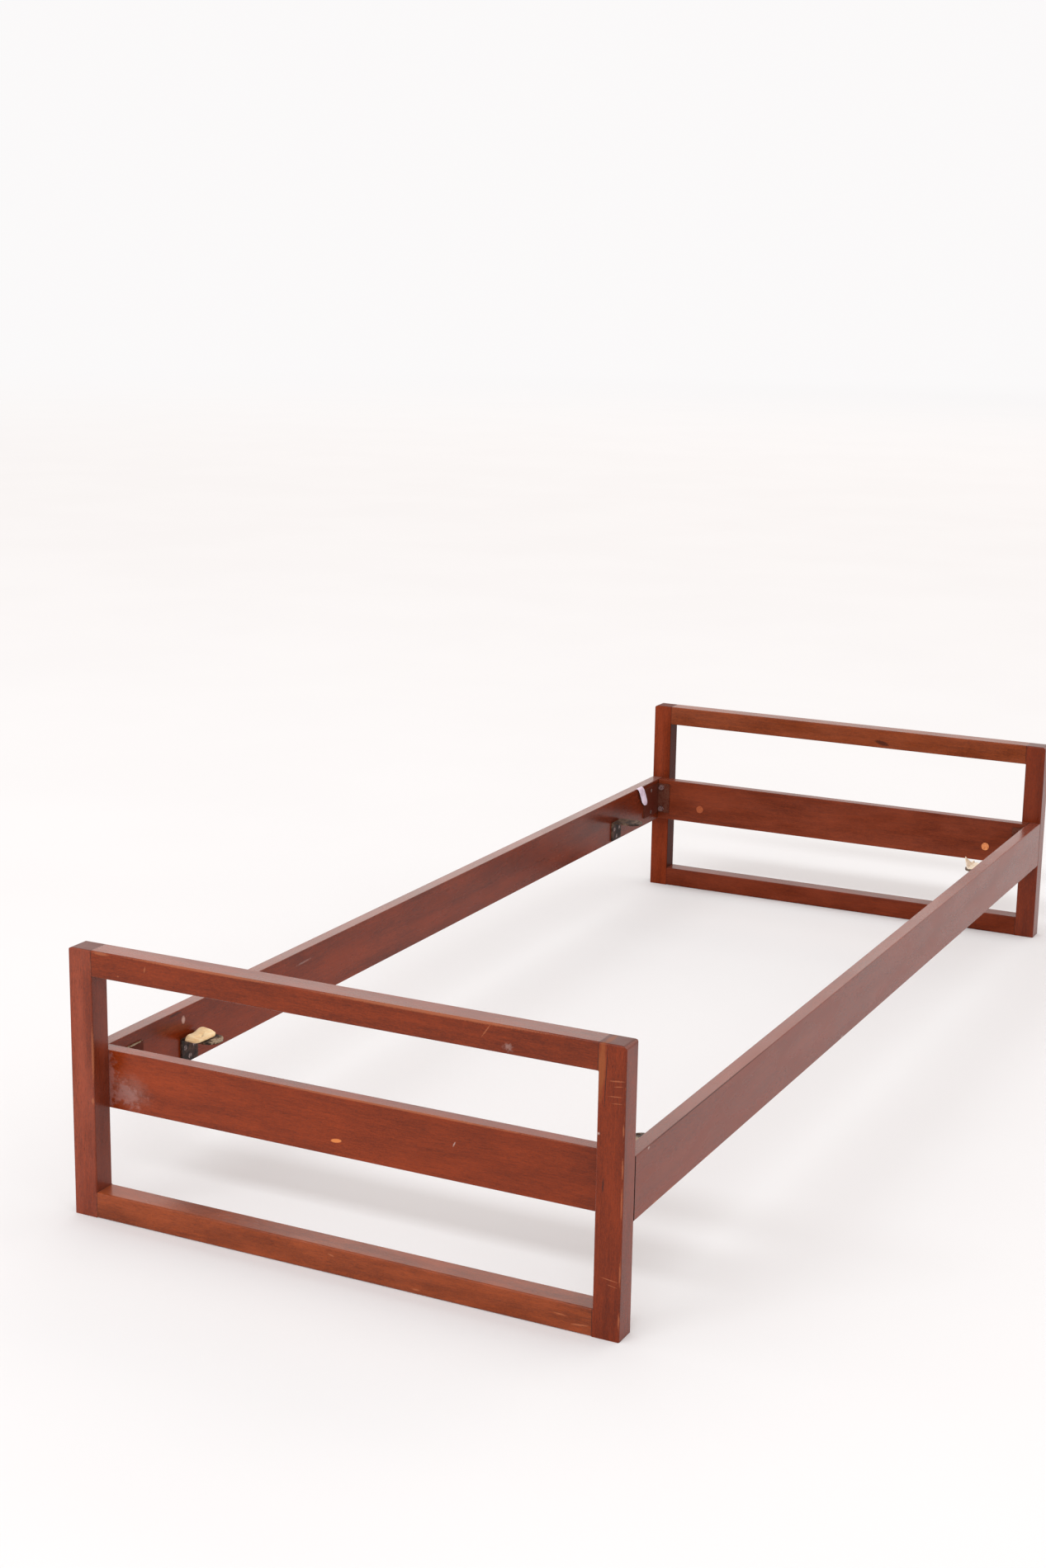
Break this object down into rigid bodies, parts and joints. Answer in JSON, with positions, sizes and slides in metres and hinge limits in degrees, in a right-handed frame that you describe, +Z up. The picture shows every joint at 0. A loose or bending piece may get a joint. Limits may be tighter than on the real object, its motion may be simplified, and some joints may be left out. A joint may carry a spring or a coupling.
{
  "type": "single bed frame",
  "caption": "Low single bed frame in red-brown stained wood with equal open end frames, boards for rails, corner irons and steel brackets for a bed base.",
  "frame": {"origin": "middle of the bed's footprint, on the floor", "axes": "+X towards the right-hand side rail seen from the foot, +Y from foot to head, +Z up"},
  "size_m": [0.87, 2.13, 0.405],
  "materials": {
    "stained_wood": "satin",
    "pale_wood": "matte",
    "dark_steel": "worn",
    "fastener_steel": "satin",
    "pad_leather": "matte"
  },
  "bodies": {
    "root": {"foot_left_post": "stained_wood", "foot_right_post": "stained_wood", "foot_top_rail": "stained_wood", "foot_bottom_rail": "stained_wood", "foot_mid_rail": "stained_wood", "head_left_post": "stained_wood", "head_right_post": "stained_wood", "head_top_rail": "stained_wood", "head_bottom_rail": "stained_wood", "head_mid_rail": "stained_wood", "left_side_rail": "stained_wood", "right_side_rail": "stained_wood", "foot_left_corner_iron": "dark_steel", "foot_right_corner_iron": "dark_steel", "head_left_corner_iron": "dark_steel", "head_right_corner_iron": "dark_steel", "foot_left_bracket": "dark_steel", "foot_right_bracket": "dark_steel", "head_left_bracket": "dark_steel", "head_right_bracket": "dark_steel", "foot_left_pad": "pad_leather", "head_right_pad": "pad_leather", "foot_post_bolts": "fastener_steel", "head_post_bolts": "fastener_steel", "foot_bolt_washers": "fastener_steel", "head_bolt_washers": "fastener_steel", "left_iron_screws": "fastener_steel", "right_iron_screws": "fastener_steel", "left_bracket_screws": "fastener_steel", "right_bracket_screws": "fastener_steel", "foot_frame_dowels": "pale_wood", "head_frame_dowels": "pale_wood", "foot_rail_plugs": "pale_wood", "head_rail_plugs": "pale_wood"}
  },
  "joints": []
}
